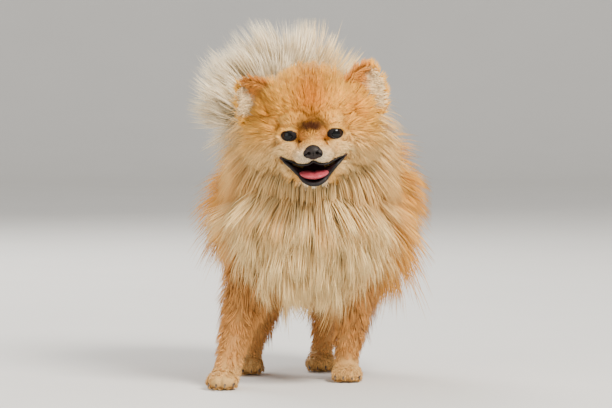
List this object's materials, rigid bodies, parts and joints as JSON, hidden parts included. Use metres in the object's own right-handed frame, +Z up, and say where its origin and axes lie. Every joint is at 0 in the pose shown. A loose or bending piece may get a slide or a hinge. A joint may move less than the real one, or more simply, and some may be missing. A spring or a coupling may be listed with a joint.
{
  "type": "pomeranian dog",
  "caption": "Life-size standing toy spitz dog with a full orange and cream coat, a ruff, a plumed tail over the back, upright ears and an open mouth.",
  "frame": {"origin": "on the floor under the middle of the bounding box", "axes": "+Z up, -Y the way the dog faces, +X to the dog's left"},
  "size_m": [0.2251, 0.3371, 0.3355],
  "materials": {
    "coat_orange": "soft orange fur",
    "coat_cream": "soft cream fur",
    "coat_pale": "long pale cream fur",
    "wet_black": "moist near-black surface of eye and nose",
    "tongue_pink": "moist pink"
  },
  "bodies": {
    "root": {"head": "coat_orange", "jaw": "coat_orange", "nose": "wet_black", "tongue": "tongue_pink", "eye_left": "wet_black", "eye_right": "wet_black", "ear_left": "coat_orange", "ear_right": "coat_orange", "neck": "coat_cream", "torso": "coat_orange", "tail": "coat_pale", "leg_front_left": "coat_orange", "leg_front_right": "coat_orange", "leg_hind_left": "coat_orange", "leg_hind_right": "coat_orange"}
  },
  "joints": []
}
